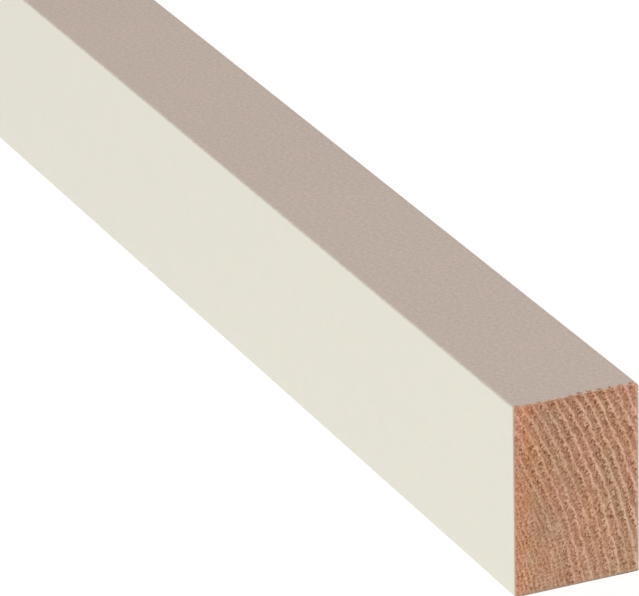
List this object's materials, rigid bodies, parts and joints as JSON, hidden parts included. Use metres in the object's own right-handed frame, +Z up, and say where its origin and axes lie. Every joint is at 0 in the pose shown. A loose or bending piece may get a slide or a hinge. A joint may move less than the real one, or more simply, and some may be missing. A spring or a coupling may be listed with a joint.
{
  "type": "rectangular moulding strip",
  "caption": "Plain rectangular softwood moulding strip with a cream painted coat, eased arrises and square-sawn bare ends.",
  "frame": {"origin": "middle of the underside, on the surface that the strip stands on", "axes": "+X along the strip towards the sawn end seen in the picture, +Y from the front face to the back face, +Z up"},
  "size_m": [0.3, 0.02, 0.03],
  "materials": {
    "painted_timber": "cream satin paint on the four long faces, bare sawn softwood on the two ends"
  },
  "bodies": {
    "root": {"moulding_strip": "painted_timber"}
  },
  "joints": []
}
